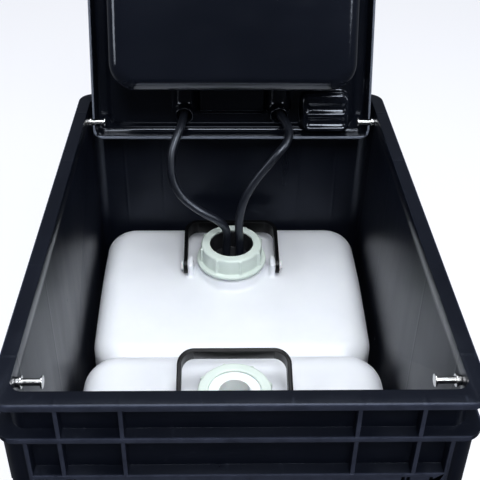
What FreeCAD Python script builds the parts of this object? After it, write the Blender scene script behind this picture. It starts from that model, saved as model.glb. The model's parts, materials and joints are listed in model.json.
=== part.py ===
"""Camper wash station in a stacking container: a hinged sink lid over two canisters.

Frame: millimetres, origin at the centre of the container's base, +X to the right, +Y to the rear, +Z up.
The lid and everything on it is built closed and then swung open about the hinge pins.
"""
import FreeCAD
import Part
import math
import os

V = FreeCAD.Vector
X_AXIS = V(1, 0, 0)
Y_AXIS = V(0, 1, 0)
Z_AXIS = V(0, 0, 1)

# ---- driving dimensions -------------------------------------------------------------------------
# Container, a 400 x 300 mm stacking container 320 mm high.
BOX_HALF_X = 150.0
BOX_HALF_Y = 200.0
BOX_H = 320.0
RIM_W = 11.5            # width of the rim's top face
RIM_T = 5.0             # thickness of the rim lip
WALL = 2.8
FLOOR_Z = 9.0           # inside of the floor
FOOT_H = 6.0            # stacking foot under the floor
FOOT_INSET = 5.0
CORNER_R = 14.0
RIB_T = 2.5
RIB_1_Z = 288.7         # mid-height of the first horizontal rib below the rim
RIB_1_T = 3.6
BAND_TOP_Z = 255.8      # top of the flat band that serves as a grip
BAND_H = 26.0
BAND_T = 3.0
LOW_RIB_Z = 40.0
SHORT_SIDE_RIBS_X = (71.0, 109.5)
LONG_SIDE_RIBS_Y = (71.0, 158.8)
PANEL_HALF_X = 131.5     # outer faces of the end ribs of each wall's panels
PANEL_HALF_Y = 181.5
POST_INSET = 2.6         # smooth corner posts stand this far in from the rim's edge
POST_FOOT_Z = 12.0
SLOTS_X = ((102.4, 104.6), (105.8, 108.0), (120.2, 122.6), (125.0, 127.6))   # slots in the flat band

# Pins that carry the lid.
PIN_Z = BOX_H - 11.0
HINGE_Y = 160.5
REST_Y = -171.0
PIN_R = 2.4
PIN_FLANGE_R = 4.2
PIN_FLANGE_X = 121.6
PIN_FLANGE_T = 1.2
PIN_END_X = 148.0
COLLAR_X = 134.7
COLLAR_T = 1.5
NUT_T = 4.0
NUT_RELIEF_R = 5.9      # clearance cut into the ribs round a nut
WASHER_T = 1.0

# Lid, a thermoformed sink. Its heights are measured from the pins' axis.
OPEN_DEG = 108.446
RUNNING_GAP = 0.08      # radial gap of every shaft that turns in a hole
REST_GAP = 0.3          # gap round the front pins with the lid closed
LID_HALF_X = 134.0
LID_REAR_Y = HINGE_Y + 16.4
LID_FRONT_Y = -186.5
LID_SHEET = 3.0
LID_R = 10.0
DECK_TOP = 22.5
SKIRT_EDGE = -3.0
BASIN_BOTTOM = -80.0
BASIN_REAR_Y = 126.5
BASIN_FRONT_Y = -161.5
BASIN_HALF_X = 114.0
BASIN_DRAFT = 7.5
BASIN_R = 26.0
BASIN_FLOOR_R = 14.0
DUCT_X = 45.8
DUCT_BORE_R = 7.3
DUCT_R = 8.7
DUCT_TILT_DEG = 21.0
DUCT_BASE = (147.8, 19.5)    # y, height over the pins' axis
DUCT_LENGTH = 18.7
DISH_X = (68.0, 115.0)
DISH_Y = (133.0, 171.5)
DISH_FLOOR = 4.0
DISH_FLOOR_T = 4.0
DISH_GROOVES_Y = (148.0, 162.0)
DISH_GROOVE_R = 7.0
DISH_GROOVE_DEPTH = 2.4

# Drain under the basin.
DRAIN_Y = -75.5
DRAIN_R = 11.0

# Canisters. The waste canister is the fresh one moved forward.
TANK_HALF_X = 130.0
TANK_FRONT_Y = 1.0
TANK_REAR_Y = 184.5
TANK_BOTTOM_Z = FLOOR_Z + 0.3
TANK_TOP_Z = 171.0
TANK_CREASE_Y = 98.0    # where the flat top starts to slope down to the front
TANK_CREASE_REACH = 12.0
TANK_SLOPE_DEG = 9.5
TANK_WALL = 2.2
TANK_CORNER_R = 30.0
TANK_EDGE_R = 20.0
TANK_FOOT_R = 10.0
TANK_PITCH_Y = 187.5
NECK_Y = 112.0
NECK_R = 27.2
NECK_BORE_R = 22.6
NECK_TOP_Z = 191.5
SADDLE_R = 36.0

# Carrying handle of a canister.
HANDLE_PIVOT_Y = 101.7
HANDLE_PIVOT_Z = 180.0
HANDLE_HALF_X = 47.0
HANDLE_T = 3.5
HANDLE_W = 16.0
HANDLE_H = 52.5
HANDLE_CORNER_R = 14.0
HANDLE_HOLE_R = 3.1
FRESH_HANDLE_LEAN_DEG = 77.6
WASTE_HANDLE_LEAN_DEG = 66.9

# Ring caps.
RING_R = 30.0
RING_HOLE_R = 21.4
RING_FLANGE_R = 34.4
RING_FLANGE_T = 3.2
RING_H = 20.0
RING_PLATE_T = 2.5
RING_RIBS = 8
FRESH_RING_TOP_Z = 200.0
WASTE_RING_TOP_Z = 196.0
SEAL_T = 1.2

# Hoses between the lid and the fresh canister.
HOSE_R = 4.0
CUP_FLOOR_Z = 178.5     # inside floor of the black cup in the fresh neck
SUPPLY_ROUTE = [
    (-45.8, 178.6, 314.7), (-46.2, 167.4, 314.2), (-47.8, 155.4, 309.8), (-52.8, 144.6, 301.4),
    (-57.6, 135.4, 290.6), (-58.2, 128.0, 277.2), (-56.0, 122.4, 263.2), (-48.4, 118.0, 250.8),
    (-37.0, 113.8, 242.0), (-24.0, 109.6, 235.2), (-11.2, 109.8, 227.4), (-4.4, 112.0, 215.4),
    (-4.4, 113.8, 202.0), (-5.0, 114.0, 189.6), (-5.0, 114.0, CUP_FLOOR_Z),
]
LEAD_ROUTE = [
    (45.8, 178.6, 314.7), (46.2, 167.4, 314.4), (51.4, 155.6, 312.8), (55.4, 144.8, 307.2),
    (52.0, 134.4, 300.4), (43.2, 127.4, 293.2), (34.2, 125.0, 281.8), (24.8, 123.0, 269.8),
    (16.4, 120.2, 257.0), (10.4, 117.4, 243.2), (7.6, 115.4, 229.0), (7.0, 114.2, 215.2),
    (8.0, 113.4, 202.0), (8.6, 113.0, 189.6), (8.6, 113.0, CUP_FLOOR_Z),
]

# Pump in the fresh canister.
PUMP_R = 19.0
PUMP_PLACE = (1.5, 122.0)    # behind the hoses, clear of the neck's front half
PUMP_Z = (TANK_BOTTOM_Z + TANK_WALL + 1.0, 92.0)


# ---- shape helpers ------------------------------------------------------------------------------
def rounded_wire(x0, x1, y0, y1, radius, z):
    """Closed outline of a rectangle with round corners, in the plane at height z."""
    k = radius * (1 - math.sqrt(0.5))
    corners = [
        ((x1 - radius, y0), (x1 - k, y0 + k), (x1, y0 + radius)),
        ((x1, y1 - radius), (x1 - k, y1 - k), (x1 - radius, y1)),
        ((x0 + radius, y1), (x0 + k, y1 - k), (x0, y1 - radius)),
        ((x0, y0 + radius), (x0 + k, y0 + k), (x0 + radius, y0)),
    ]
    edges = []
    for i, corner in enumerate(corners):
        start, middle, end = [V(p[0], p[1], z) for p in corner]
        following = corners[(i + 1) % 4][0]
        edges.append(Part.Arc(start, middle, end).toShape())
        edges.append(Part.LineSegment(end, V(following[0], following[1], z)).toShape())
    return Part.Wire(edges)


def rounded_block(x0, x1, y0, y1, z0, z1, radius):
    face = Part.Face(rounded_wire(x0, x1, y0, y1, radius, z0))
    return face.extrude(V(0, 0, z1 - z0))


def centred_block(half_x, half_y, z0, z1, radius):
    return rounded_block(-half_x, half_x, -half_y, half_y, z0, z1, radius)


def block(x0, x1, y0, y1, z0, z1):
    return Part.makeBox(x1 - x0, y1 - y0, z1 - z0, V(x0, y0, z0))


def cylinder(radius, start, direction, length):
    return Part.makeCylinder(radius, length, V(*start), direction)


def ring(outer, inner, start, direction, length):
    return cylinder(outer, start, direction, length).cut(cylinder(inner, start, direction, length))


def edges_at(shape, z, tolerance=0.01):
    """Edges that lie whole in the plane at height z."""
    return [e for e in shape.Edges
            if abs(e.BoundBox.ZMin - z) < tolerance and abs(e.BoundBox.ZMax - z) < tolerance]


def rounded_at(shape, z, radius):
    return shape.makeFillet(radius, edges_at(shape, z))


def mirrored(shape):
    """The same shape on the other side of the container's middle plane."""
    return shape.mirror(V(0, 0, 0), X_AXIS)


def moved(shape, x=0.0, y=0.0, z=0.0):
    copy = shape.copy()
    copy.translate(V(x, y, z))
    return copy


def opened(shape):
    """Swings a shape that was built on the closed lid up to the open position."""
    copy = shape.copy()
    copy.rotate(V(0, HINGE_Y, PIN_Z), X_AXIS, -OPEN_DEG)
    return copy


def bent_tube(route, radius, name):
    """Round tube along straight runs joined by tangent arcs, each as large as its two runs allow."""
    points = [V(*p) for p in route]
    edges, radii = [], []
    start = points[0]
    for before, corner, after in zip(points, points[1:], points[2:]):
        back = (before - corner).normalize()
        on = (after - corner).normalize()
        half_turn = (math.pi - back.getAngle(on)) / 2
        setback = 0.45 * min((before - corner).Length, (after - corner).Length)
        bend = setback / math.tan(half_turn)
        radii.append(bend)
        a, b = corner + back * setback, corner + on * setback
        towards = (back + on).normalize()
        middle = corner + towards * (bend / math.cos(half_turn) - bend)
        edges.append(Part.LineSegment(start, a).toShape())
        edges.append(Part.Arc(a, middle, b).toShape())
        start = b
    edges.append(Part.LineSegment(start, points[-1]).toShape())
    path = Part.Wire(edges)
    section = Part.Wire(Part.Circle(points[0], points[1] - points[0], radius).toShape())
    tube = path.makePipeShell([section], True, True)
    expected = math.pi * radius ** 2 * path.Length
    print("%s: length %.1f mm, tightest arc %.1f mm, volume ratio %.4f"
          % (name, path.Length, min(radii), tube.Volume / expected))
    return tube


def group(*shapes):
    return Part.makeCompound(list(shapes))


# ---- container ----------------------------------------------------------------------------------
def wall_ring(depth, z0, z1, radius=CORNER_R):
    """Band round the container from its wall out to a face set in by depth from the rim."""
    outer = centred_block(BOX_HALF_X - depth, BOX_HALF_Y - depth, z0, z1, radius - depth * 0.5)
    return outer.cut(centred_block(BOX_HALF_X - RIM_W, BOX_HALF_Y - RIM_W, z0, z1, 9.0))


def tote_body():
    inner_x, inner_y = BOX_HALF_X - RIM_W, BOX_HALF_Y - RIM_W
    wall_x, wall_y = inner_x + WALL, inner_y + WALL
    rim = centred_block(BOX_HALF_X, BOX_HALF_Y, BOX_H - RIM_T, BOX_H, CORNER_R)
    rim = rounded_at(rim, BOX_H, 1.6)
    shell = centred_block(wall_x, wall_y, FOOT_H, BOX_H - 1.0, 11.0)
    foot = centred_block(wall_x - FOOT_INSET, wall_y - FOOT_INSET, 0.0, FOOT_H, 8.0)
    foot = foot.cut(centred_block(wall_x - FOOT_INSET - 6.0, wall_y - FOOT_INSET - 6.0, 0.0, FOOT_H, 6.0))
    reach_x, reach_y = wall_x - FOOT_INSET - 3.0, wall_y - FOOT_INSET - 3.0
    under_ribs = [block(-reach_x, reach_x, y - 2.0, y + 2.0, 0.0, FOOT_H) for y in (-93.0, 0.0, 93.0)]
    under_ribs += [block(x - 2.0, x + 2.0, -reach_y, reach_y, 0.0, FOOT_H) for x in (-68.0, 0.0, 68.0)]
    pad = cylinder(22.0, (0, 0, 0), Z_AXIS, FOOT_H)
    body = shell.fuse([rim, foot, pad] + under_ribs)

    additions = [wall_ring(0.0, RIB_1_Z - RIB_1_T / 2, RIB_1_Z + RIB_1_T / 2),
                 wall_ring(4.0, LOW_RIB_Z - RIB_T / 2, LOW_RIB_Z + RIB_T / 2)]
    collar = (RIB_1_Z, BOX_H - RIM_T)
    lower_row = (BAND_TOP_Z - BAND_H, RIB_1_Z)
    for side in (-1, 1):
        for x in SHORT_SIDE_RIBS_X:
            for end in (-1, 1):
                additions.append(upright_on_short_side(side * x, end, *collar))
                additions.append(upright_on_short_side(side * x, end, *lower_row))
                additions.append(upright_on_short_side(side * x, end, LOW_RIB_Z, BAND_TOP_Z - BAND_H, 5.0))
        for y in LONG_SIDE_RIBS_Y:
            for end in (-1, 1):
                additions.append(upright_on_long_side(side * y, end, *collar))
                additions.append(upright_on_long_side(side * y, end, *lower_row))
                additions.append(upright_on_long_side(side * y, end, LOW_RIB_Z, BAND_TOP_Z - BAND_H, 5.0))
    for end in (-1, 1):
        additions += short_side_panel(end)
        additions += long_side_panel(end)
    additions += corner_posts()
    body = body.fuse(additions)

    cavity = centred_block(inner_x, inner_y, FLOOR_Z, BOX_H + 1.0, 9.0)
    body = body.cut(rounded_at(cavity, FLOOR_Z, 5.0))
    holes = []
    for y in (HINGE_Y, REST_Y):
        holes.append(cylinder(PIN_R + 0.1, (-BOX_HALF_X, y, PIN_Z), X_AXIS, 2 * BOX_HALF_X))
        for side in (-1, 1):
            holes.append(cylinder(NUT_RELIEF_R, (side * wall_x, y, PIN_Z), X_AXIS * side, 20.0))
    return body.cut(holes).removeSplitter()


def corner_posts():
    """Hollow round posts down the four corners, open at the foot, between the walls' end ribs."""
    outer_x, outer_y = BOX_HALF_X - POST_INSET, BOX_HALF_Y - POST_INSET
    skin = centred_block(outer_x, outer_y, POST_FOOT_Z, RIB_1_Z, CORNER_R)
    skin = skin.cut(centred_block(outer_x - RIB_T, outer_y - RIB_T, POST_FOOT_Z, RIB_1_Z, CORNER_R - RIB_T))
    near_x, near_y = PANEL_HALF_X - RIB_T, PANEL_HALF_Y - RIB_T
    posts = []
    for side in (-1, 1):
        for end in (-1, 1):
            x0, x1 = sorted((side * near_x, side * BOX_HALF_X))
            y0, y1 = sorted((end * near_y, end * BOX_HALF_Y))
            posts.append(skin.common(block(x0, x1, y0, y1, POST_FOOT_Z, RIB_1_Z)))
            posts.append(end_rib_x(side, end))
            posts.append(end_rib_y(side, end))
    return posts


def end_rib_x(side, end):
    """Rib that closes a post on a short side, below the flat band."""
    x0, x1 = sorted((side * (PANEL_HALF_X - RIB_T), side * PANEL_HALF_X))
    y0, y1 = sorted((end * (BOX_HALF_Y - RIM_W), end * (BOX_HALF_Y - POST_INSET)))
    return block(x0, x1, y0, y1, POST_FOOT_Z, BAND_TOP_Z)


def end_rib_y(side, end):
    """Rib that closes a post on a long side, below the flat band."""
    x0, x1 = sorted((side * (BOX_HALF_X - RIM_W), side * (BOX_HALF_X - POST_INSET)))
    y0, y1 = sorted((end * (PANEL_HALF_Y - RIB_T), end * PANEL_HALF_Y))
    return block(x0, x1, y0, y1, POST_FOOT_Z, BAND_TOP_Z)


def upright_on_short_side(x, end, z0, z1, depth=0.0):
    y0, y1 = sorted((end * (BOX_HALF_Y - RIM_W), end * (BOX_HALF_Y - depth - 0.4)))
    return block(x - RIB_T / 2, x + RIB_T / 2, y0, y1, z0, z1)


def upright_on_long_side(y, end, z0, z1, depth=0.0):
    x0, x1 = sorted((end * (BOX_HALF_X - RIM_W), end * (BOX_HALF_X - depth - 0.4)))
    return block(x0, x1, y - RIB_T / 2, y + RIB_T / 2, z0, z1)


def short_side_panel(end):
    """Flat band with its slots and top ledge, and the rib at each end, on the front or rear wall."""
    face = BOX_HALF_Y - 0.2
    half = PANEL_HALF_X
    wall = BOX_HALF_Y - RIM_W
    parts = []
    for x0, x1, z0, z1, depth in (
            (-half, half, BAND_TOP_Z - BAND_H, BAND_TOP_Z, BAND_T),
            (-half, half, BAND_TOP_Z - BAND_T, BAND_TOP_Z, face - wall),
            (half - RIB_T, half, BAND_TOP_Z - BAND_H, RIB_1_Z, face - wall),
            (-half, -half + RIB_T, BAND_TOP_Z - BAND_H, RIB_1_Z, face - wall)):
        y0, y1 = sorted((end * face, end * (face - depth)))
        parts.append(block(x0, x1, y0, y1, z0, z1))
    y0, y1 = sorted((end * BOX_HALF_Y, end * (face - BAND_T)))
    slots = [block(*sorted((side * a, side * b)), y0, y1, BAND_TOP_Z - BAND_H + BAND_T, BAND_TOP_Z - BAND_T)
             for a, b in SLOTS_X for side in (-1, 1)]
    parts[0] = parts[0].cut(slots)
    return parts


def long_side_panel(end):
    """The same band on a long wall."""
    face = BOX_HALF_X - 0.2
    half = PANEL_HALF_Y
    wall = BOX_HALF_X - RIM_W
    parts = []
    for y0, y1, z0, z1, depth in (
            (-half, half, BAND_TOP_Z - BAND_H, BAND_TOP_Z, BAND_T),
            (-half, half, BAND_TOP_Z - BAND_T, BAND_TOP_Z, face - wall),
            (half - RIB_T, half, BAND_TOP_Z - BAND_H, RIB_1_Z, face - wall),
            (-half, -half + RIB_T, BAND_TOP_Z - BAND_H, RIB_1_Z, face - wall)):
        x0, x1 = sorted((end * face, end * (face - depth)))
        parts.append(block(x0, x1, y0, y1, z0, z1))
    return parts


# ---- lid pins -----------------------------------------------------------------------------------
def pin(y):
    """Spool pin on the right-hand wall: a plain shank with a flange at its inner end."""
    shank = cylinder(PIN_R, (PIN_FLANGE_X, y, PIN_Z), X_AXIS, PIN_END_X - PIN_FLANGE_X)
    flange = cylinder(PIN_FLANGE_R, (PIN_FLANGE_X, y, PIN_Z), X_AXIS, PIN_FLANGE_T)
    flange = flange.makeFillet(0.4, [e for e in flange.Edges if e.Curve.TypeId == "Part::GeomCircle"])
    return shank.fuse(flange).removeSplitter()


def pin_collar(y):
    """Stepped spacer that keeps the lid's skirt off the wall."""
    wall_x = BOX_HALF_X - RIM_W
    collar = cylinder(PIN_FLANGE_R, (COLLAR_X, y, PIN_Z), X_AXIS, COLLAR_T)
    sleeve = cylinder(3.3, (COLLAR_X, y, PIN_Z), X_AXIS, wall_x - COLLAR_X)
    return collar.fuse(sleeve).cut(cylinder(PIN_R, (100.0, y, PIN_Z), X_AXIS, 50.0))


def pin_washer(y):
    start = BOX_HALF_X - RIM_W + WALL
    return ring(5.5, PIN_R, (start, y, PIN_Z), X_AXIS, WASHER_T)


def pin_nut(y):
    start = BOX_HALF_X - RIM_W + WALL + WASHER_T
    corners = [V(start, y + 4.5 * math.cos(math.radians(60 * i)), PIN_Z + 4.5 * math.sin(math.radians(60 * i)))
               for i in range(7)]
    hexagon = Part.Face(Part.makePolygon(corners)).extrude(X_AXIS * NUT_T)
    return hexagon.cut(cylinder(PIN_R, (start, y, PIN_Z), X_AXIS, NUT_T))


def both_sides(piece, *ys):
    solids = []
    for y in ys:
        right = piece(y)
        solids += [right, mirrored(right)]
    return group(*solids)


# ---- lid ----------------------------------------------------------------------------------------
def lid_z(height):
    """World height, with the lid closed, of a height over the pins' axis."""
    return PIN_Z + height


def basin_block(inset, z_bottom, z_top, floor_radius):
    """Drafted tub from z_bottom up to z_top, set in from the basin's outside by inset."""
    top = lid_z(DECK_TOP)
    slope = BASIN_DRAFT / (DECK_TOP - BASIN_BOTTOM)

    def outline(z):
        draw_in = inset + slope * (top - z)
        return rounded_wire(-BASIN_HALF_X + draw_in, BASIN_HALF_X - draw_in, BASIN_FRONT_Y + draw_in,
                            BASIN_REAR_Y - draw_in, BASIN_R - inset - 0.3 * slope * (top - z), z)

    tub = Part.makeLoft([outline(z_bottom), outline(z_top)], True, True)
    return rounded_at(tub, z_bottom, floor_radius)


def duct_direction():
    """Way a duct's mouth faces on the closed lid: down and slightly to the rear."""
    tilt = math.radians(DUCT_TILT_DEG)
    return V(0, math.sin(tilt), -math.cos(tilt))


def duct_start(x):
    return V(x, DUCT_BASE[0], lid_z(DUCT_BASE[1]))


def lid_shell():
    sheet = LID_SHEET
    deck_under = lid_z(DECK_TOP - sheet)
    tray = rounded_block(-LID_HALF_X, LID_HALF_X, LID_FRONT_Y, LID_REAR_Y, lid_z(SKIRT_EDGE),
                         lid_z(DECK_TOP), LID_R)
    tray = rounded_at(tray, lid_z(DECK_TOP), 5.0)
    inside = rounded_block(-LID_HALF_X + sheet, LID_HALF_X - sheet, LID_FRONT_Y + sheet, LID_REAR_Y - sheet,
                           lid_z(SKIRT_EDGE) - 1.0, deck_under, LID_R - sheet)
    tray = tray.cut(rounded_at(inside, deck_under, 3.5))

    plateau = rounded_block(-120.0, 120.0, LID_FRONT_Y + 11.0, LID_REAR_Y - 10.6, deck_under - 2.0,
                            deck_under + 1.0, 12.0)
    plateau = rounded_at(plateau, deck_under - 2.0, 1.2)
    basin = basin_block(0.0, lid_z(BASIN_BOTTOM), deck_under + 1.0, BASIN_FLOOR_R)
    panel = rounded_block(-32.0, 32.0, BASIN_REAR_Y - 6.0, 153.0, deck_under - 6.0, deck_under, 2.0)
    panel = rounded_at(panel, deck_under - 6.0, 1.5)
    dish = rounded_block(DISH_X[0], DISH_X[1], DISH_Y[0], DISH_Y[1], lid_z(DISH_FLOOR), deck_under + 1.0, 8.0)
    dish = rounded_at(dish, lid_z(DISH_FLOOR), 4.0)
    solids = [plateau, basin, panel, dish]
    for x in (-DUCT_X, DUCT_X):
        solids.append(cylinder(11.0, (x, BASIN_REAR_Y - 6.0, lid_z(17.0)), Y_AXIS, 30.0))
        solids.append(cylinder(DUCT_R, tuple(duct_start(x)), duct_direction(), DUCT_LENGTH))
    body = tray.fuse(solids)
    # Nothing of the bumps stands out of the deck's upper face.
    body = body.cut(block(-200, 200, -250, 250, lid_z(DECK_TOP), lid_z(DECK_TOP) + 40))

    cuts = [basin_block(sheet, lid_z(BASIN_BOTTOM) + sheet, lid_z(DECK_TOP) + 5.0, BASIN_FLOOR_R - sheet),
            rounded_block(DISH_X[0] + sheet, DISH_X[1] - sheet, DISH_Y[0] + sheet, DISH_Y[1] - sheet,
                          lid_z(DISH_FLOOR) + DISH_FLOOR_T, lid_z(DECK_TOP) + 5.0, 5.0),
            cylinder(DRAIN_R + 0.2, (0, DRAIN_Y, lid_z(BASIN_BOTTOM) - 5.0), Z_AXIS, 20.0)]
    for y in DISH_GROOVES_Y:
        axis_z = lid_z(DISH_FLOOR) + DISH_GROOVE_DEPTH - DISH_GROOVE_R
        start = (DISH_X[0] + 4.5, y, axis_z)
        cuts.append(cylinder(DISH_GROOVE_R, start, X_AXIS, DISH_X[1] - DISH_X[0] - 9.0))
    for x in (-DUCT_X, DUCT_X):
        start = duct_start(x) - duct_direction() * 12.0
        cuts.append(cylinder(DUCT_BORE_R, tuple(start), duct_direction(), DUCT_LENGTH + 20.0))
    for y, clearance in ((HINGE_Y, RUNNING_GAP), (REST_Y, REST_GAP)):
        width = PIN_R + clearance
        cuts.append(block(-140, 140, y - width, y + width, lid_z(SKIRT_EDGE) - 1.0, PIN_Z)
                    .cut(block(-130, 130, -250, 250, 0, 400)))
        cuts.append(cylinder(width, (130.0, y, PIN_Z), X_AXIS, 5.0))
        cuts.append(cylinder(width, (-135.0, y, PIN_Z), X_AXIS, 5.0))
    return opened(body.cut(cuts).removeSplitter())


def duct_plugs():
    """Plug in each duct that the hose is bonded to."""
    tails = []
    for x in (-DUCT_X, DUCT_X):
        start = duct_start(x) - duct_direction() * 2.0
        tails.append(opened(cylinder(DUCT_BORE_R, tuple(start), duct_direction(), 6.0)))
    return group(*tails)


def drain_strainer():
    """Flange in the basin with a ring of slots, and the threaded tube below it."""
    floor = lid_z(BASIN_BOTTOM) + LID_SHEET
    flange = cylinder(21.0, (0, DRAIN_Y, floor), Z_AXIS, 1.8)
    tube = ring(DRAIN_R, 9.0, (0, DRAIN_Y, floor - 22.0), Z_AXIS, 22.0)
    body = flange.fuse(tube)
    holes = [cylinder(1.6, (6.2 * math.cos(math.radians(a)), DRAIN_Y + 6.2 * math.sin(math.radians(a)),
                            floor - 1.0), Z_AXIS, 4.0) for a in range(0, 360, 45)]
    holes.append(cylinder(1.6, (0, DRAIN_Y, floor - 1.0), Z_AXIS, 4.0))
    return opened(body.cut(holes))


def drain_seal():
    start = lid_z(BASIN_BOTTOM) - 2.5
    return opened(ring(17.0, DRAIN_R + 0.05, (0, DRAIN_Y, start), Z_AXIS, 2.5))


def drain_nut():
    start = lid_z(BASIN_BOTTOM) - 2.5 - 7.0
    nut = cylinder(17.5, (0, DRAIN_Y, start), Z_AXIS, 7.0)
    lugs = [block(-2.0, 2.0, 16.0, 20.0, start, start + 7.0) for _ in range(6)]
    for i, lug in enumerate(lugs):
        lug.rotate(V(0, 0, 0), Z_AXIS, 60 * i)
        lug.translate(V(0, DRAIN_Y, 0))
    nut = nut.fuse(lugs).cut(cylinder(DRAIN_R, (0, DRAIN_Y, start), Z_AXIS, 7.0))
    return opened(nut)


def drain_tail():
    """Spout that hangs below the drain's tube and lets the water fall into the waste neck."""
    floor = lid_z(BASIN_BOTTOM) + LID_SHEET
    top = floor - 22.0
    return opened(ring(DRAIN_R, 8.6, (0, DRAIN_Y, 200.0), Z_AXIS, top - 200.0))


# ---- canisters ----------------------------------------------------------------------------------
def tank_block(inset):
    """Outside of a canister's body for inset 0, its inside for an inset of the wall."""
    slope = math.radians(TANK_SLOPE_DEG)
    y0, y1 = TANK_FRONT_Y + inset, TANK_REAR_Y - inset
    z0, z1 = TANK_BOTTOM_Z + inset, TANK_TOP_Z - inset
    shoulder_z = z1 - (TANK_CREASE_Y - y0) * math.tan(slope)
    crease_r = TANK_CREASE_REACH / math.tan(slope / 2)
    centre = V(0, TANK_CREASE_Y + TANK_CREASE_REACH, z1 - crease_r)
    flat_end = centre + V(0, 0, crease_r)
    middle = centre + V(0, -math.sin(slope / 2), math.cos(slope / 2)) * crease_r
    slope_end = centre + V(0, -math.sin(slope), math.cos(slope)) * crease_r
    corners = [V(0, y0, shoulder_z), V(0, y0, z0), V(0, y1, z0), V(0, y1, z1)]
    edges = [Part.Arc(flat_end, middle, slope_end).toShape()]
    for a, b in zip([slope_end] + corners, corners + [flat_end]):
        edges.append(Part.LineSegment(a, b).toShape())
    half = TANK_HALF_X - inset
    bar = Part.Face(Part.Wire(edges)).extrude(X_AXIS * (2 * half))
    bar.translate(V(-half, 0, 0))
    body = bar.common(rounded_block(-half, half, y0, y1, z0 - 1.0, z1 + 1.0, TANK_CORNER_R - inset))

    def is_crease(edge):
        box = edge.BoundBox
        return box.XLength > 2 * half - 1.0 and y0 + 1.0 < box.YMin < y1 - 1.0

    top = [e for e in body.Edges if e.BoundBox.ZMin > shoulder_z - 0.5 and not is_crease(e)]
    body = body.makeFillet(TANK_EDGE_R - inset, top)
    return body.makeFillet(TANK_FOOT_R - inset, edges_at(body, z0))


def tank(dy):
    """Blow-moulded canister with its neck, and an ear with a stub axle each side of the neck."""
    body = tank_block(0.0)
    base = TANK_TOP_Z - 12.0
    saddle = Part.makeCone(SADDLE_R + 3.0, SADDLE_R - 3.0, 17.0, V(0, NECK_Y, base))
    neck = cylinder(NECK_R, (0, NECK_Y, base), Z_AXIS, NECK_TOP_Z - base)
    additions = [saddle, neck]
    for side in (-1, 1):
        ear = block(38.0, 43.2, HANDLE_PIVOT_Y - 7.0, HANDLE_PIVOT_Y + 9.0, base, HANDLE_PIVOT_Z + 5.0)
        axle = cylinder(HANDLE_HOLE_R - RUNNING_GAP, (40.0, HANDLE_PIVOT_Y, HANDLE_PIVOT_Z), X_AXIS, 7.4)
        lug = ear.fuse(axle)
        additions.append(lug if side > 0 else mirrored(lug))
    body = body.fuse(additions)
    body = body.cut([tank_block(TANK_WALL), cylinder(NECK_BORE_R, (0, NECK_Y, base - 20.0), Z_AXIS, 60.0)])
    return moved(body.removeSplitter(), y=dy)


def handle(dy, lean_deg):
    """Flat strap bent into a U, hung on the two stub axles and leaning to the rear."""
    half, height, t = HANDLE_HALF_X, HANDLE_H, HANDLE_T

    def arch(half_width, top, radius):
        return rounded_block(-half_width, half_width, -height, top, -HANDLE_W / 2, HANDLE_W / 2, radius)

    strap = arch(half, height, HANDLE_CORNER_R).cut(arch(half - t, height - t, HANDLE_CORNER_R - t))
    strap = strap.cut(block(-100, 100, -200, 0, -50, 50))
    strap.rotate(V(0, 0, 0), X_AXIS, 90)
    ends = [cylinder(HANDLE_W / 2, (side * half, 0, 0), X_AXIS * -side, t) for side in (-1, 1)]
    strap = strap.fuse(ends).cut(cylinder(HANDLE_HOLE_R, (-60, 0, 0), X_AXIS, 120))
    strap = strap.removeSplitter()
    strap.rotate(V(0, 0, 0), X_AXIS, -lean_deg)
    return moved(strap, y=HANDLE_PIVOT_Y + dy, z=HANDLE_PIVOT_Z)


def handle_buttons(dy):
    button = cylinder(4.6, (HANDLE_HALF_X + 0.4, HANDLE_PIVOT_Y + dy, HANDLE_PIVOT_Z), X_AXIS, 2.2)
    return group(button, mirrored(button))


def neck_seal(dy):
    return ring(NECK_R - 0.4, NECK_BORE_R + 0.4, (0, NECK_Y + dy, NECK_TOP_Z), Z_AXIS, SEAL_T)


def cap_ring(dy, top_z):
    """Ring cap with eight grip ribs; the joint's thread is left as a plain running gap."""
    base = top_z - RING_H
    centre = (0, NECK_Y + dy, base)
    body = cylinder(RING_R, centre, Z_AXIS, RING_H)
    body = rounded_at(body, top_z, 2.0)
    flange = cylinder(RING_FLANGE_R, centre, Z_AXIS, RING_FLANGE_T)
    flange = rounded_at(flange, base + RING_FLANGE_T, 1.0)
    additions = [flange]
    for i in range(RING_RIBS):
        angle = math.radians(360.0 / RING_RIBS * (i + 0.35))
        x, y = (RING_R + 0.2) * math.cos(angle), (RING_R + 0.2) * math.sin(angle)
        additions.append(cylinder(1.5, (x, NECK_Y + dy + y, base), Z_AXIS, RING_H - 1.2))
    body = body.fuse(additions)
    thread_bore = cylinder(NECK_R + RUNNING_GAP, centre, Z_AXIS, RING_H - RING_PLATE_T)
    return body.cut([thread_bore, cylinder(RING_HOLE_R, centre, Z_AXIS, RING_H)]).removeSplitter()


def fresh_cap_insert():
    """Black cup under the fresh ring, with a hole in its floor for each hose."""
    bottom = NECK_TOP_Z + SEAL_T
    top = FRESH_RING_TOP_Z - RING_PLATE_T
    flange = cylinder(NECK_R - 0.4, (0, NECK_Y, bottom), Z_AXIS, top - bottom)
    cup = cylinder(NECK_BORE_R - 0.3, (0, NECK_Y, CUP_FLOOR_Z - 2.5), Z_AXIS, bottom - CUP_FLOOR_Z + 2.5)
    body = flange.fuse(cup).cut(cylinder(20.8, (0, NECK_Y, CUP_FLOOR_Z), Z_AXIS, 30.0))
    holes = [cylinder(HOSE_R + 0.15, (route[-1][0], route[-1][1], CUP_FLOOR_Z - 5.0), Z_AXIS, 10.0)
             for route in (SUPPLY_ROUTE, LEAD_ROUTE)]
    return body.cut(holes).removeSplitter()


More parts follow.
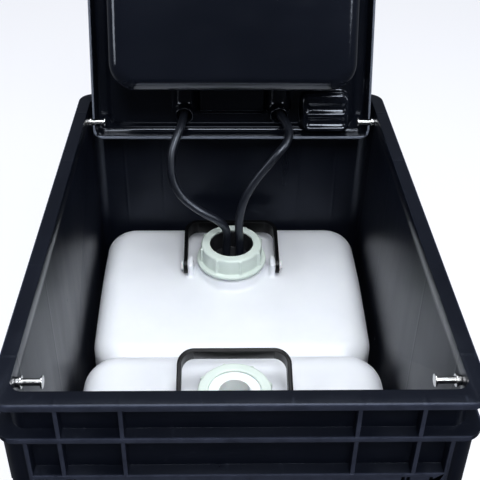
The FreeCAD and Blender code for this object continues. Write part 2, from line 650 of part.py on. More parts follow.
def waste_cap_insert():
    """White disc under the waste ring, with a drop tube that the drain empties into."""
    y = NECK_Y - TANK_PITCH_Y
    bottom = NECK_TOP_Z + SEAL_T
    top = WASTE_RING_TOP_Z - RING_PLATE_T
    disc = cylinder(NECK_R - 0.4, (0, y, bottom), Z_AXIS, top - bottom)
    raised = cylinder(RING_HOLE_R - 0.4, (0, y, bottom), Z_AXIS, top - bottom + 0.9)
    tube = cylinder(14.4, (0, y, 172.0), Z_AXIS, top - 172.0)
    return disc.fuse([raised, tube]).cut(cylinder(12.7, (0, y, 160.0), Z_AXIS, 60.0)).removeSplitter()


# ---- pump and hoses -----------------------------------------------------------------------------
def pump_body():
    z0, z1 = PUMP_Z
    body = rounded_at(cylinder(PUMP_R, (*PUMP_PLACE, z0 + 22.0), Z_AXIS, z1 - z0 - 22.0), z1, 5.0)
    spigot = cylinder(HOSE_R - 1.0, (*SUPPLY_ROUTE[-1][:2], z1 - 1.0), Z_AXIS, 13.0)
    return body.fuse(spigot).removeSplitter()


def pump_strainer():
    cage = ring(PUMP_R, PUMP_R - 2.0, (*PUMP_PLACE, PUMP_Z[0]), Z_AXIS, 22.0)
    slots = []
    for i in range(12):
        slot = block(-1.2, 1.2, PUMP_R - 4.0, PUMP_R + 2.0, PUMP_Z[0] + 4.0, PUMP_Z[0] + 18.0)
        slot.rotate(V(0, 0, 0), Z_AXIS, 30 * i)
        slot.translate(V(*PUMP_PLACE, 0))
        slots.append(slot)
    return cage.cut(slots)


def riser_hose():
    """The supply hose below the cup, pushed over the pump's spigot."""
    x, y, top = SUPPLY_ROUTE[-1]
    tube = cylinder(HOSE_R, (x, y, PUMP_Z[1]), Z_AXIS, top - PUMP_Z[1])
    return tube.cut(cylinder(HOSE_R - 1.0, (x, y, PUMP_Z[1]), Z_AXIS, 12.0))


def pump_lead():
    """The sleeved lead below the cup, down to the pump's shoulder."""
    x, y, top = LEAD_ROUTE[-1]
    return cylinder(HOSE_R, (x, y, PUMP_Z[1]), Z_AXIS, top - PUMP_Z[1])


# ---- assembly -----------------------------------------------------------------------------------
def build_nodes():
    forward = -TANK_PITCH_Y
    nodes = {
        "tote_body": tote_body(),
        "hinge_pins": both_sides(pin, HINGE_Y),
        "rest_pins": both_sides(pin, REST_Y),
        "pin_collars": both_sides(pin_collar, HINGE_Y, REST_Y),
        "pin_washers": both_sides(pin_washer, HINGE_Y, REST_Y),
        "pin_nuts": both_sides(pin_nut, HINGE_Y, REST_Y),
        "lid_shell": lid_shell(),
        "duct_plugs": duct_plugs(),
        "drain_strainer": drain_strainer(),
        "drain_seal": drain_seal(),
        "drain_nut": drain_nut(),
        "drain_tail": drain_tail(),
        "fresh_tank": tank(0.0),
        "fresh_handle": handle(0.0, FRESH_HANDLE_LEAN_DEG),
        "fresh_handle_buttons": handle_buttons(0.0),
        "fresh_neck_seal": neck_seal(0.0),
        "fresh_cap_insert": fresh_cap_insert(),
        "fresh_cap_ring": cap_ring(0.0, FRESH_RING_TOP_Z),
        "waste_tank": tank(forward),
        "waste_handle": handle(forward, WASTE_HANDLE_LEAN_DEG),
        "waste_handle_buttons": handle_buttons(forward),
        "waste_neck_seal": neck_seal(forward),
        "waste_cap_insert": waste_cap_insert(),
        "waste_cap_ring": cap_ring(forward, WASTE_RING_TOP_Z),
        "supply_hose": bent_tube(SUPPLY_ROUTE, HOSE_R, "supply_hose"),
        "lead_sleeve": bent_tube(LEAD_ROUTE, HOSE_R, "lead_sleeve"),
        "riser_hose": riser_hose(),
        "pump_lead": pump_lead(),
        "pump_body": pump_body(),
        "pump_strainer": pump_strainer(),
    }
    return nodes


os.makedirs("parts", exist_ok=True)
for node_name, node_shape in build_nodes().items():
    node_shape.exportStep("parts/%s.step" % node_name)
    print("%-22s solids %d valid %s volume %.0f mm3"
          % (node_name, len(node_shape.Solids), node_shape.isValid(), node_shape.Volume))
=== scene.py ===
"""Looks of the camper wash station: a container with an open sink lid and two canisters.

Everything is in metres in the part's own frame: +X right, +Y to the rear, +Z up, with the origin at the
container's base.
"""

import json
import math

import bmesh
import bpy
from mathutils import Matrix, Vector


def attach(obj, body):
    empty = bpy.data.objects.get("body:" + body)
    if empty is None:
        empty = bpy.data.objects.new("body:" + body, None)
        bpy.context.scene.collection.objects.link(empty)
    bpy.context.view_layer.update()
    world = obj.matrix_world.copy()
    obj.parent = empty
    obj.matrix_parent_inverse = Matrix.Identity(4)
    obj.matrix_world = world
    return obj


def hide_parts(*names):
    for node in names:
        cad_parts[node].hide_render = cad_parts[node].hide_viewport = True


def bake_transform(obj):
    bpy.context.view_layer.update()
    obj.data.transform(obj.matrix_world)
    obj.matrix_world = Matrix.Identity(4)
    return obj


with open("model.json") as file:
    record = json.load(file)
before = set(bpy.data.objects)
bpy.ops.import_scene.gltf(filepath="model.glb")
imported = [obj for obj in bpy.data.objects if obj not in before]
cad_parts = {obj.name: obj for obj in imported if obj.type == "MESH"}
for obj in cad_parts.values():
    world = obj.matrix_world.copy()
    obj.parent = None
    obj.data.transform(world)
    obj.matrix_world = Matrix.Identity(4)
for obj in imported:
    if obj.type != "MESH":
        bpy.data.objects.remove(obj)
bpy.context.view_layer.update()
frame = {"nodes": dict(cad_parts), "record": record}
NODES = frame["nodes"]
BODY_OF = {n: body for body, names in frame["record"]["behaviour"]["bodies"].items() for n in names}
SLOT_OF = {s["node"]: s["material_slot"] for s in frame["record"]["subparts"]}

MM = 0.001

# ---- sizes the part's design shares with its looks ----------------------------------------------
HINGE = Vector((0.0, 0.1605, 0.309))
OPEN_ANGLE = math.radians(108.446)
# Way the open lid's underside faces, and the way from its middle to its rear edge.
LID_DOWN = Vector((0.0, -math.sin(OPEN_ANGLE), -math.cos(OPEN_ANGLE)))
LID_REARWARD = Vector((0.0, math.cos(OPEN_ANGLE), -math.sin(OPEN_ANGLE)))
DUCT_X = 0.0458
DUCT_BASE = Vector((0.0, 0.1478, 0.3285))
DUCT_TILT = math.radians(21.0)
DUCT_LENGTH = 0.0187
TANK_PITCH = 0.1875
HOSE_DIAMETER = 0.008
RIM_HALF_X = 0.150
RIM_HALF_Y = 0.200
# Uprights behind the walls, where the moulding has sunk a little.
UPRIGHTS_ALONG_Y = (0.071, 0.1588)
UPRIGHTS_ALONG_X = (0.071, 0.1095)
SINK_HALF_WIDTH = 0.0022
# The lid's cut edge, which carries a painted highlight: outside these lines, and this far under the plane of
# the hinge.
TRIM_SIDE_X = 0.1300
TRIM_REAR = 0.0128
TRIM_FRONT = -0.3430
TRIM_DEPTH = 0.0021
TRIM_FADE = 0.0006

# Control points of the two hoses, from inside the lid's duct to the cup in the rear cap.
SUPPLY_ROUTE = [
    (-0.0458, 0.1786, 0.3147), (-0.0462, 0.1674, 0.3142), (-0.0478, 0.1554, 0.3098),
    (-0.0528, 0.1446, 0.3014), (-0.0576, 0.1354, 0.2906), (-0.0582, 0.1280, 0.2772),
    (-0.0560, 0.1224, 0.2632), (-0.0484, 0.1180, 0.2508), (-0.0370, 0.1138, 0.2420),
    (-0.0240, 0.1096, 0.2352), (-0.0112, 0.1098, 0.2274), (-0.0044, 0.1120, 0.2154),
    (-0.0044, 0.1138, 0.2020), (-0.0050, 0.1140, 0.1896), (-0.0050, 0.1140, 0.1785),
]
LEAD_ROUTE = [
    (0.0458, 0.1786, 0.3147), (0.0462, 0.1674, 0.3144), (0.0514, 0.1556, 0.3128),
    (0.0554, 0.1448, 0.3072), (0.0520, 0.1344, 0.3004), (0.0432, 0.1274, 0.2932),
    (0.0342, 0.1250, 0.2818), (0.0248, 0.1230, 0.2698), (0.0164, 0.1202, 0.2570),
    (0.0104, 0.1174, 0.2432), (0.0076, 0.1154, 0.2290), (0.0070, 0.1142, 0.2152),
    (0.0080, 0.1134, 0.2020), (0.0086, 0.1130, 0.1896), (0.0086, 0.1130, 0.1785),
]


# ---- node helpers for materials -----------------------------------------------------------------
def set_range(node, low, high, out_low, out_high):
    """Fill in a Map Range node's four numbers."""
    for socket, number in zip(("From Min", "From Max", "To Min", "To Max"), (low, high, out_low, out_high)):
        node.inputs[socket].default_value = number


class Shader:
    """A material under construction, with the few node patterns that every finish here uses."""

    def __init__(self, name):
        self.material = bpy.data.materials.new(name)
        self.material.use_nodes = True
        self.tree = self.material.node_tree
        self.bsdf = self.tree.nodes["Principled BSDF"]
        self.place = self.tree.nodes.new("ShaderNodeTexCoord").outputs["Object"]

    def node(self, kind, **settings):
        made = self.tree.nodes.new(kind)
        for key, value in settings.items():
            setattr(made, key, value)
        return made

    def link(self, source, target):
        self.tree.links.new(source, target)

    def stretched(self, scale):
        mapping = self.node("ShaderNodeMapping")
        mapping.inputs["Scale"].default_value = scale
        self.link(self.place, mapping.inputs["Vector"])
        return mapping.outputs["Vector"]

    def noise(self, scale, detail=3.0, roughness=0.5, stretch=None):
        made = self.node("ShaderNodeTexNoise")
        made.inputs["Scale"].default_value = scale
        made.inputs["Detail"].default_value = detail
        made.inputs["Roughness"].default_value = roughness
        self.link(self.stretched(stretch) if stretch else self.place, made.inputs["Vector"])
        return made.outputs["Fac"]

    def cells(self, scale, smooth=0.4):
        made = self.node("ShaderNodeTexVoronoi", feature="SMOOTH_F1")
        made.inputs["Scale"].default_value = scale
        made.inputs["Smoothness"].default_value = smooth
        self.link(self.place, made.inputs["Vector"])
        return made.outputs["Distance"]

    def ramp(self, value, low, high, out_low=0.0, out_high=1.0):
        made = self.node("ShaderNodeMapRange", clamp=True)
        set_range(made, low, high, out_low, out_high)
        self.link(value, made.inputs["Value"])
        return made.outputs["Result"]

    def math(self, operation, a, b):
        made = self.node("ShaderNodeMath", operation=operation)
        for socket, value in zip(made.inputs, (a, b)):
            if isinstance(value, (int, float)):
                socket.default_value = value
            else:
                self.link(value, socket)
        return made.outputs[0]

    def axis(self, letter):
        made = self.node("ShaderNodeSeparateXYZ")
        self.link(self.place, made.inputs[0])
        return made.outputs[letter]

    def size_along(self, letter):
        """Distance from the part's middle plane across an axis."""
        return self.math("ABSOLUTE", self.axis(letter), 0.0)

    def depth_under(self, origin, direction):
        """How far a point lies from a plane through origin, along direction."""
        offset = self.node("ShaderNodeVectorMath", operation="SUBTRACT")
        self.link(self.place, offset.inputs[0])
        offset.inputs[1].default_value = origin
        made = self.node("ShaderNodeVectorMath", operation="DOT_PRODUCT")
        self.link(offset.outputs[0], made.inputs[0])
        made.inputs[1].default_value = direction
        return made.outputs["Value"]

    def mix(self, factor, a, b):
        made = self.node("ShaderNodeMix", data_type="RGBA")
        for socket, value in ((made.inputs[6], a), (made.inputs[7], b)):
            if isinstance(value, tuple):
                socket.default_value = (*value, 1.0)
            else:
                self.link(value, socket)
        self.link(factor, made.inputs[0])
        return made.outputs[2]

    def bump(self, height, distance, strength=1.0, under=None):
        made = self.node("ShaderNodeBump")
        made.inputs["Strength"].default_value = strength
        made.inputs["Distance"].default_value = distance
        self.link(height, made.inputs["Height"])
        if under is not None:
            self.link(under, made.inputs["Normal"])
        return made.outputs["Normal"]

    def finish(self, color=None, roughness=None, normal=None, **values):
        if color is not None:
            self.link(color, self.bsdf.inputs["Base Color"])
        if roughness is not None:
            self.link(roughness, self.bsdf.inputs["Roughness"])
        if normal is not None:
            self.link(normal, self.bsdf.inputs["Normal"])
        for name, value in values.items():
            self.bsdf.inputs[name.replace("_", " ")].default_value = value
        return self.material


def line_field(shader, letter, places, half_width):
    """1 on thin lines this far each side of the middle along an axis, fading to 0 beside them."""
    total = None
    for place in [sign * place for sign in (-1, 1) for place in places]:
        away = shader.math("ABSOLUTE", shader.math("SUBTRACT", shader.axis(letter), place), 0.0)
        line = shader.ramp(away, 0.0, half_width, 1.0, 0.0)
        total = line if total is None else shader.math("MAXIMUM", total, line)
    return total


def tote_plastic():
    s = Shader("tote_plastic")
    clouds = s.noise(9.0, 4.0, 0.6)
    streaks = s.noise(30.0, 5.0, 0.65, stretch=(1.0, 1.0, 0.12))
    scuffs = s.ramp(s.noise(190.0, 6.0, 0.7, stretch=(1.0, 0.25, 1.0)), 0.60, 0.78)
    color = s.mix(s.ramp(clouds, 0.3, 0.7), (0.0018, 0.0024, 0.0050), (0.0036, 0.0046, 0.0088))
    color = s.mix(s.math("MULTIPLY", scuffs, 0.22), color, (0.045, 0.053, 0.078))
    # The outermost faces are painted lighter: partly rubbed wear, partly painted light that lifts the rib
    # tips against the shaded pockets.
    outermost = s.math("MAXIMUM", s.ramp(s.size_along("X"), RIM_HALF_X - 0.0015, RIM_HALF_X - 0.0008),
                       s.ramp(s.size_along("Y"), RIM_HALF_Y - 0.0015, RIM_HALF_Y - 0.0008))
    rubbed_and_lit = s.math("MULTIPLY", outermost, s.ramp(s.noise(75.0, 5.0, 0.6), 0.25, 0.65, 0.45, 1.0))
    color = s.mix(rubbed_and_lit, color, (0.022, 0.026, 0.043))
    roughness = s.math("ADD", s.ramp(streaks, 0.3, 0.7, 0.27, 0.37), s.math("MULTIPLY", scuffs, 0.10))
    roughness = s.math("ADD", roughness, s.math("MULTIPLY", rubbed_and_lit, 0.15))
    sink = s.math("MAXIMUM", line_field(s, "Y", UPRIGHTS_ALONG_Y, SINK_HALF_WIDTH),
                  line_field(s, "X", UPRIGHTS_ALONG_X, SINK_HALF_WIDTH))
    waves = s.bump(s.noise(14.0, 2.0), 0.0012, 0.35)
    marks = s.bump(sink, 0.00025, 0.5, waves)
    grain = s.bump(s.noise(2600.0, 2.0), 0.00004, 0.35, marks)
    return s.finish(color, roughness, grain, Specular_IOR_Level=0.36, Specular_Tint=(0.76, 0.84, 1.0, 1.0))


def lid_plastic():
    s = Shader("lid_plastic")
    clouds = s.noise(7.0, 3.0, 0.55)
    specks = s.ramp(s.cells(330.0, 0.0), 0.045, 0.025)
    dusty = s.math("MULTIPLY", specks, s.ramp(s.noise(60.0, 1.0), 0.56, 0.62))
    color = s.mix(s.ramp(clouds, 0.3, 0.7), (0.0030, 0.0038, 0.0066), (0.0052, 0.0064, 0.0104))
    color = s.mix(s.math("MULTIPLY", dusty, 0.55), color, (0.30, 0.31, 0.33))
    near_side = s.ramp(s.size_along("X"), TRIM_SIDE_X, TRIM_SIDE_X + TRIM_FADE)
    along = s.depth_under(HINGE, LID_REARWARD)
    near_end = s.math("MAXIMUM", s.ramp(along, TRIM_REAR, TRIM_REAR + TRIM_FADE),
                      s.ramp(along, TRIM_FRONT, TRIM_FRONT - TRIM_FADE))
    # The band along the cut edge is painted a lighter blue-grey as a highlight, and is made rougher.
    cut_edge_highlight = s.math("MULTIPLY", s.ramp(s.depth_under(HINGE, LID_DOWN), TRIM_DEPTH, TRIM_DEPTH + 0.0004),
                     s.math("MAXIMUM", near_side, near_end))
    color = s.mix(cut_edge_highlight, color, (0.10, 0.112, 0.14))
    smear = s.noise(26.0, 5.0, 0.6, stretch=(0.5, 1.0, 1.6))
    roughness = s.math("ADD", s.ramp(smear, 0.35, 0.7, 0.10, 0.20), s.math("MULTIPLY", dusty, 0.3))
    roughness = s.math("MAXIMUM", roughness, s.math("MULTIPLY", cut_edge_highlight, 0.45))
    waves = s.bump(s.noise(11.0, 1.5), 0.0010, 0.6)
    leather = s.math("ADD", s.cells(720.0, 0.5), s.math("MULTIPLY", s.noise(900.0, 3.0), 0.6))
    grain = s.bump(leather, 0.00008, 0.25, waves)
    return s.finish(color, roughness, grain, Specular_IOR_Level=0.55, Specular_Tint=(0.84, 0.90, 1.0, 1.0))


def steel(name, tone, roughness):
    s = Shader(name)
    rings = s.noise(3600.0, 2.0, 0.5, stretch=(1.0, 0.03, 0.03))
    worn = (tone * 0.8, tone * 0.79, tone * 0.77)
    color = s.mix(s.ramp(s.noise(120.0, 3.0), 0.3, 0.7), (tone, tone, tone), worn)
    rough = s.ramp(rings, 0.3, 0.7, roughness, roughness + 0.04)
    return s.finish(color, rough, s.bump(rings, 0.000002, 0.3), Metallic=1.0)


def black_moulding(name, tone, roughness, grain_scale=1800.0, gloss=0.35):
    s = Shader(name)
    color = s.mix(s.ramp(s.noise(40.0), 0.3, 0.7), (tone, tone * 1.05, tone * 1.25),
                  (tone * 1.6, tone * 1.7, tone * 1.95))
    rough = s.ramp(s.noise(120.0, 4.0), 0.3, 0.7, roughness, roughness + 0.12)
    return s.finish(color, rough, s.bump(s.noise(grain_scale, 2.0), 0.00005, 0.4), Specular_IOR_Level=gloss)


def seal_rubber():
    s = Shader("seal_rubber")
    color = s.mix(s.noise(200.0), (0.018, 0.018, 0.019), (0.040, 0.040, 0.041))
    rough = s.ramp(s.noise(300.0), 0.3, 0.7, 0.55, 0.75)
    return s.finish(color, rough, s.bump(s.noise(1500.0), 0.00005, 0.5))


def canister_plastic():
    s = Shader("canister_plastic")
    flow = s.noise(16.0, 4.0, 0.55, stretch=(1.0, 1.0, 0.25))
    color = s.mix(s.ramp(flow, 0.3, 0.7), (0.780, 0.800, 0.860), (0.835, 0.850, 0.895))
    rough = s.ramp(s.noise(45.0, 4.0), 0.3, 0.7, 0.36, 0.50)
    waves = s.bump(s.noise(18.0, 2.0), 0.0012, 0.25)
    grain = s.bump(s.noise(1400.0, 2.0), 0.00005, 0.35, waves)
    return s.finish(color, rough, grain, Subsurface_Weight=0.35, Subsurface_Scale=0.012,
                    Subsurface_Radius=(1.0, 0.95, 1.1))


def cap_plastic():
    s = Shader("cap_plastic")
    color = s.mix(s.ramp(s.noise(28.0, 3.0), 0.3, 0.7), (0.60, 0.680, 0.620), (0.665, 0.745, 0.685))
    rough = s.ramp(s.noise(90.0, 4.0), 0.3, 0.7, 0.36, 0.48)
    return s.finish(color, rough, s.bump(s.noise(1600.0, 2.0), 0.00004, 0.35), Subsurface_Weight=0.15,
                    Subsurface_Scale=0.004, Subsurface_Radius=(1.0, 1.0, 1.0))


def white_moulding(name, tint):
    s = Shader(name)
    color = s.mix(s.ramp(s.noise(50.0), 0.3, 0.7), tint, tuple(min(1.0, c * 1.07) for c in tint))
    rough = s.ramp(s.noise(100.0, 3.0), 0.3, 0.7, 0.34, 0.46)
    return s.finish(color, rough, s.bump(s.noise(1500.0), 0.00004, 0.3), Subsurface_Weight=0.15,
                    Subsurface_Scale=0.003)


def hose_plastic():
    s = Shader("hose_plastic")
    color = s.mix(s.ramp(s.noise(60.0, 3.0), 0.3, 0.7), (0.0050, 0.0060, 0.0095), (0.0085, 0.0100, 0.0150))
    rough = s.ramp(s.noise(40.0, 2.0), 0.3, 0.7, 0.33, 0.38)
    return s.finish(color, rough, s.bump(s.noise(900.0, 2.0), 0.00001, 0.2), Specular_IOR_Level=0.70,
                    Specular_Tint=(0.82, 0.89, 1.0, 1.0))


def pump_plastic():
    s = Shader("pump_plastic")
    color = s.mix(s.noise(60.0), (0.10, 0.11, 0.12), (0.15, 0.16, 0.17))
    return s.finish(color, s.ramp(s.noise(120.0), 0.3, 0.7, 0.4, 0.55), s.bump(s.noise(1500.0), 0.00005, 0.4))


MATERIALS = {
    "tote_plastic": tote_plastic(),
    "lid_plastic": lid_plastic(),
    "pin_steel": steel("pin_steel", 0.62, 0.22),
    "drain_steel": steel("drain_steel", 0.62, 0.18),
    "fitting_plastic": black_moulding("fitting_plastic", 0.010, 0.30),
    "seal_rubber": seal_rubber(),
    "canister_plastic": canister_plastic(),
    "cap_plastic": cap_plastic(),
    "handle_plastic": black_moulding("handle_plastic", 0.0014, 0.30, 900.0, 0.16),
    "button_plastic": white_moulding("button_plastic", (0.80, 0.81, 0.84)),
    "disc_plastic": white_moulding("disc_plastic", (0.80, 0.83, 0.82)),
    "hose_plastic": hose_plastic(),
    "pump_plastic": pump_plastic(),
}
for node_name, node_object in NODES.items():
    for material_slot in node_object.material_slots:
        material_slot.material = MATERIALS[SLOT_OF[node_name]]


# ---- mesh helpers -------------------------------------------------------------------------------
FLAT_WITHIN = math.radians(0.5)    # faces closer than this in angle are joined
SHARP_FROM = math.radians(35)    # edges sharper than this are rounded


def add_piece(name, mesh, body, slot):
    """New smooth piece from a mesh, in place, riding on a body (if any) and wearing its slot's material."""
    mesh.name = name
    mesh.materials.clear()
    mesh.materials.append(MATERIALS[slot])
    mesh.polygons.foreach_set("use_smooth", [True] * len(mesh.polygons))
    made = bpy.data.objects.new(name, mesh)
    bpy.context.scene.collection.objects.link(made)
    if body is not None:
        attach(made, body)
    return made


def stand_in(mesh, name, node):
    """A piece that takes a CAD node's place, body and slot."""
    piece = add_piece(name, mesh, BODY_OF[node], SLOT_OF[node])
    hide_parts(node)


def mesh_from(bm):
    mesh = bpy.data.meshes.new("piece")
    bm.normal_update()
    bm.to_mesh(mesh)
    bm.free()
    return mesh


def with_modifiers(mesh, *modifiers):
    """The mesh after these modifiers, each given as (type, settings)."""
    holder = bpy.data.objects.new("holder", mesh)
    bpy.context.scene.collection.objects.link(holder)
    for kind, settings in modifiers:
        made = holder.modifiers.new(kind, kind)
        for key, value in settings.items():
            setattr(made, key, value)
    bpy.context.view_layer.update()
    graph = bpy.context.evaluated_depsgraph_get()
    result = bpy.data.meshes.new_from_object(holder.evaluated_get(graph), depsgraph=graph)
    bpy.data.objects.remove(holder)
    return result


def node_bmesh(node):
    """A copy of a CAD node's mesh with its split corners joined."""
    bm = bmesh.new()
    bm.from_mesh(NODES[node].data)
    bmesh.ops.remove_doubles(bm, verts=bm.verts, dist=0.002 * MM)
    return bm


def softened(node, width):
    """The CAD node with its sharp edges rounded, in its place."""
    bm = node_bmesh(node)
    bmesh.ops.dissolve_limit(bm, angle_limit=FLAT_WITHIN, verts=bm.verts, edges=bm.edges)
    mesh = with_modifiers(mesh_from(bm), ("BEVEL", {
        "width": width, "segments": 2, "limit_method": "ANGLE", "angle_limit": SHARP_FROM,
        "harden_normals": False, "miter_outer": "MITER_ARC"}), ("WEIGHTED_NORMAL", {"keep_sharp": True}))
    stand_in(mesh, node + "_soft", node)


def tube_mesh(path, radius, sides=24):
    """Round tube round a list of points, with closed ends."""
    bm = bmesh.new()
    rings = []
    forward = (path[1] - path[0]).normalized()
    side = forward.orthogonal().normalized()
    for i, point in enumerate(path):
        ahead = path[min(i + 1, len(path) - 1)] - path[max(i - 1, 0)]
        turned = forward.rotation_difference(ahead.normalized())
        side = (turned @ side).normalized()
        forward = ahead.normalized()
        other = forward.cross(side)
        ring = []
        for k in range(sides):
            angle = 2 * math.pi * k / sides
            ring.append(bm.verts.new(point + radius * (math.cos(angle) * side + math.sin(angle) * other)))
        rings.append(ring)
    for a, b in zip(rings, rings[1:]):
        for k in range(sides):
            j = (k + 1) % sides
            bm.faces.new((a[k], a[j], b[j], b[k]))
    bm.faces.new(list(reversed(rings[0])))
    bm.faces.new(rings[-1])
    return mesh_from(bm)


# ---- hoses --------------------------------------------------------------------------------------
def route_line(route):
    """Smooth points along a NURBS spline with the route's points as its control points."""
    curve = bpy.data.curves.new("route", "CURVE")
    curve.dimensions = "3D"
    curve.resolution_u = 12
    spline = curve.splines.new("NURBS")
    spline.points.add(len(route) - 1)
    for point, place in zip(spline.points, route):
        point.co = (*place, 1.0)
    spline.order_u = 3
    spline.use_endpoint_u = True
    holder = bpy.data.objects.new("route", curve)
    bpy.context.scene.collection.objects.link(holder)
    bpy.context.view_layer.update()
    graph = bpy.context.evaluated_depsgraph_get()
    line = bpy.data.meshes.new_from_object(holder.evaluated_get(graph), depsgraph=graph)
    points = [v.co.copy() for v in line.vertices]
    bpy.data.objects.remove(holder)
    return points


def add_hose(name, node, route):
    """A limp hose from its duct in the lid to the rear cap."""
    line = route_line(route)
    hose = add_piece(name, tube_mesh(line, HOSE_DIAMETER / 2), None, SLOT_OF[node])
    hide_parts(node)
    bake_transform(hose)


add_hose("supply_hose_tube", "supply_hose", SUPPLY_ROUTE)
add_hose("lead_sleeve_tube", "lead_sleeve", LEAD_ROUTE)


# ---- lid ----------------------------------------------------------------------------------------
# Turns the open lid shut, where its walls lie along the axes that a voxel remesh works on.
CLOSING = Matrix.Translation(HINGE) @ Matrix.Rotation(OPEN_ANGLE, 4, "X") @ Matrix.Translation(-HINGE)


def blended(node, voxel, smoothing, ratio, placed=None):
    """The node's mesh with every edge and junction soft; it is remeshed as placed, then moved back."""
    bm = node_bmesh(node)
    if placed is not None:
        bmesh.ops.transform(bm, matrix=placed, verts=bm.verts)
    mesh = with_modifiers(
        mesh_from(bm),
        ("REMESH", {"mode": "VOXEL", "voxel_size": voxel * MM}),
        ("SMOOTH", {"factor": 0.5, "iterations": smoothing}),
        ("DECIMATE", {"ratio": ratio}))
    if placed is not None:
        mesh.transform(placed.inverted())
    return mesh


stand_in(blended("lid_shell", 1.2, 6, 0.28, CLOSING), "lid_sheet", "lid_shell")
canister = blended("fresh_tank", 1.3, 8, 0.17)
stand_in(canister, "fresh_canister", "fresh_tank")
canister = canister.copy()
canister.transform(Matrix.Translation((0.0, -TANK_PITCH, 0.0)))
stand_in(canister, "waste_canister", "waste_tank")
for cap in ("fresh_cap_ring", "waste_cap_ring"):
    stand_in(blended(cap, 0.6, 4, 0.7), cap + "_moulded", cap)


# ---- duct mouths --------------------------------------------------------------------------------
def lathe(profile, origin, axis, sides=48):
    """Closed outline of (radius, height) points turned round an axis."""
    side = axis.orthogonal().normalized()
    other = axis.cross(side)
    bm = bmesh.new()
    rings = []
    for radius, height in profile:
        ring = []
        for k in range(sides):
            angle = 2 * math.pi * k / sides
            out = math.cos(angle) * side + math.sin(angle) * other
            ring.append(bm.verts.new(origin + axis * height + out * radius))
        rings.append(ring)
    for i, a in enumerate(rings):
        b = rings[(i + 1) % len(rings)]
        for k in range(sides):
            j = (k + 1) % sides
            bm.faces.new((a[k], a[j], b[j], b[k]))
    bmesh.ops.recalc_face_normals(bm, faces=bm.faces)
    return mesh_from(bm)


OPENING = CLOSING.inverted()
MOUTH_WAY = (OPENING.to_3x3() @ Vector((0.0, math.sin(DUCT_TILT), -math.cos(DUCT_TILT)))).normalized()
LIP_PROFILE = [
    (0.00740, -0.0100), (0.00885, -0.0100), (0.00880, -0.0030), (0.00895, -0.0008), (0.00890, 0.0002),
    (0.00865, 0.0007), (0.00800, 0.0008), (0.00755, 0.0005), (0.00740, 0.0000),
]
for side_name, sign in (("left", -1), ("right", 1)):
    start = OPENING @ (DUCT_BASE + Vector((sign * DUCT_X, 0.0, 0.0)))
    lip = lathe(LIP_PROFILE, start + MOUTH_WAY * DUCT_LENGTH, MOUTH_WAY)
    add_piece("duct_lip_" + side_name, lip, "lid", "lid_plastic")


# ---- softened hardware --------------------------------------------------------------------------
for node_name, rounding in (("fresh_handle", 0.6), ("waste_handle", 0.6), ("fresh_handle_buttons", 0.7),
                            ("waste_handle_buttons", 0.7), ("hinge_pins", 0.25), ("rest_pins", 0.25),
                            ("pin_collars", 0.2), ("pin_nuts", 0.3), ("pin_washers", 0.2), ("drain_nut", 0.5),
                            ("drain_strainer", 0.3), ("drain_tail", 0.3), ("fresh_cap_insert", 0.4),
                            ("waste_cap_insert", 0.4), ("tote_body", 0.5)):
    softened(node_name, rounding * MM)


# ---- camera, light, floor -----------------------------------------------------------------------
CAMERA_PLACE = (-0.0130, -0.5215, 0.6863)
CAMERA_YAW = math.radians(1.039)
CAMERA_PITCH = math.radians(33.063)
CAMERA_ROLL = math.radians(0.501)
CAMERA_LENS = 60.33    # mm, on a sensor 36 mm wide
CAMERA_SHIFT = (0.0198, -0.1250)
COOL = (0.92, 0.95, 1.0)
ROOM_FRONT = 0.03    # strength of the room's light from the front
ROOM_REAR = 0.16    # and from behind
FLOOR_HALF = 8.0
FLOOR_Z = -0.0005
# name: place, what it points at, width, height, power in watts
SOFTBOXES = {
    "overhead": ((0.0, 0.05, 1.70), (0.0, 0.06, 0.1), 0.9, 0.9, 17.0),
    "left_strip": ((-1.25, -0.25, 0.95), (0.0, 0.1, 0.35), 0.35, 1.3, 7.0),
    "right_strip": ((1.15, -0.55, 1.15), (0.0, 0.2, 0.5), 0.30, 1.1, 8.0),
    "front_key": ((0.15, -1.15, 1.75), (0.0, 0.1, 0.2), 0.9, 0.6, 29.0),
}


def add_camera():
    yaw, pitch, roll = CAMERA_YAW, CAMERA_PITCH, CAMERA_ROLL
    forward = Vector((math.sin(yaw) * math.cos(pitch), math.cos(yaw) * math.cos(pitch), -math.sin(pitch)))
    right = Vector((math.cos(yaw), -math.sin(yaw), 0.0))
    down = forward.cross(right)
    x_axis = math.cos(roll) * right - math.sin(roll) * down
    y_axis = -(math.sin(roll) * right + math.cos(roll) * down)
    matrix = Matrix((x_axis, y_axis, -forward)).transposed().to_4x4()
    matrix.translation = CAMERA_PLACE
    data = bpy.data.cameras.new("camera")
    data.lens = CAMERA_LENS
    data.sensor_width = 36.0
    data.shift_x, data.shift_y = CAMERA_SHIFT
    data.clip_start = 0.01
    camera = bpy.data.objects.new("camera", data)
    camera.matrix_world = matrix
    bpy.context.scene.collection.objects.link(camera)
    bpy.context.scene.camera = camera


def add_softbox(name, place, target, width, height, power):
    """A rectangular light that the camera doesn't see."""
    data = bpy.data.lights.new(name, "AREA")
    data.shape = "RECTANGLE"
    data.size = width
    data.size_y = height
    data.energy = power
    data.color = COOL
    light = bpy.data.objects.new(name, data)
    light.location = place
    light.rotation_euler = (Vector(target) - Vector(place)).to_track_quat("-Z", "Y").to_euler()
    light.visible_camera = False
    bpy.context.scene.collection.objects.link(light)


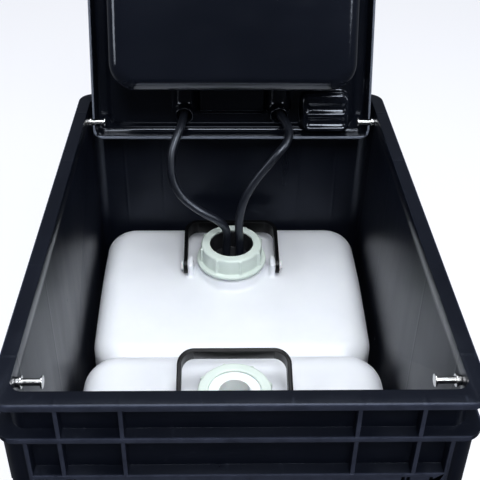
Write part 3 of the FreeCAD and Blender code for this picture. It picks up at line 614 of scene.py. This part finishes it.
def add_floor():
    """Seamless white paper under the part, which the dark plastics don't mirror."""
    mesh = bpy.data.meshes.new("floor")
    corners = [(x * FLOOR_HALF, y * FLOOR_HALF, 0) for x, y in ((-1, -1), (1, -1), (1, 1), (-1, 1))]
    mesh.from_pydata(corners, [], [(0, 1, 2, 3)])
    s = Shader("floor_paper")
    s.bsdf.inputs["Emission Color"].default_value = (0.92, 0.94, 1.0, 1.0)
    s.bsdf.inputs["Emission Strength"].default_value = 0.80
    s.bsdf.inputs["Base Color"].default_value = (0.26, 0.26, 0.265, 1.0)
    s.bsdf.inputs["Roughness"].default_value = 0.95
    mesh.materials.append(s.material)
    floor = bpy.data.objects.new("floor", mesh)
    floor.location.z = FLOOR_Z
    floor.visible_glossy = False
    bpy.context.scene.collection.objects.link(floor)


def set_world():
    """White backdrop for the camera; the room that lights the part is dark in front and pale at the rear."""
    world = bpy.data.worlds.new("studio")
    world.use_nodes = True
    tree = world.node_tree
    seen = tree.nodes["Background"]
    seen.inputs["Color"].default_value = (0.91, 0.92, 0.96, 1.0)
    seen.inputs["Strength"].default_value = 1.0
    room = tree.nodes.new("ShaderNodeBackground")
    place = tree.nodes.new("ShaderNodeTexCoord")
    parts = tree.nodes.new("ShaderNodeSeparateXYZ")
    tree.links.new(place.outputs["Generated"], parts.inputs[0])
    back = tree.nodes.new("ShaderNodeMapRange")
    set_range(back, -0.15, 0.9, ROOM_FRONT, ROOM_REAR)
    tree.links.new(parts.outputs["Y"], back.inputs["Value"])
    room.inputs["Color"].default_value = (0.84, 0.90, 1.0, 1.0)
    tree.links.new(back.outputs["Result"], room.inputs["Strength"])
    path = tree.nodes.new("ShaderNodeLightPath")
    mix = tree.nodes.new("ShaderNodeMixShader")
    tree.links.new(path.outputs["Is Camera Ray"], mix.inputs[0])
    tree.links.new(room.outputs[0], mix.inputs[1])
    tree.links.new(seen.outputs[0], mix.inputs[2])
    tree.links.new(mix.outputs[0], tree.nodes["World Output"].inputs[0])
    bpy.context.scene.world = world


add_camera()
add_floor()
set_world()
for softbox, setting in SOFTBOXES.items():
    add_softbox(softbox, *setting)
bpy.context.scene.view_settings.view_transform = "Standard"
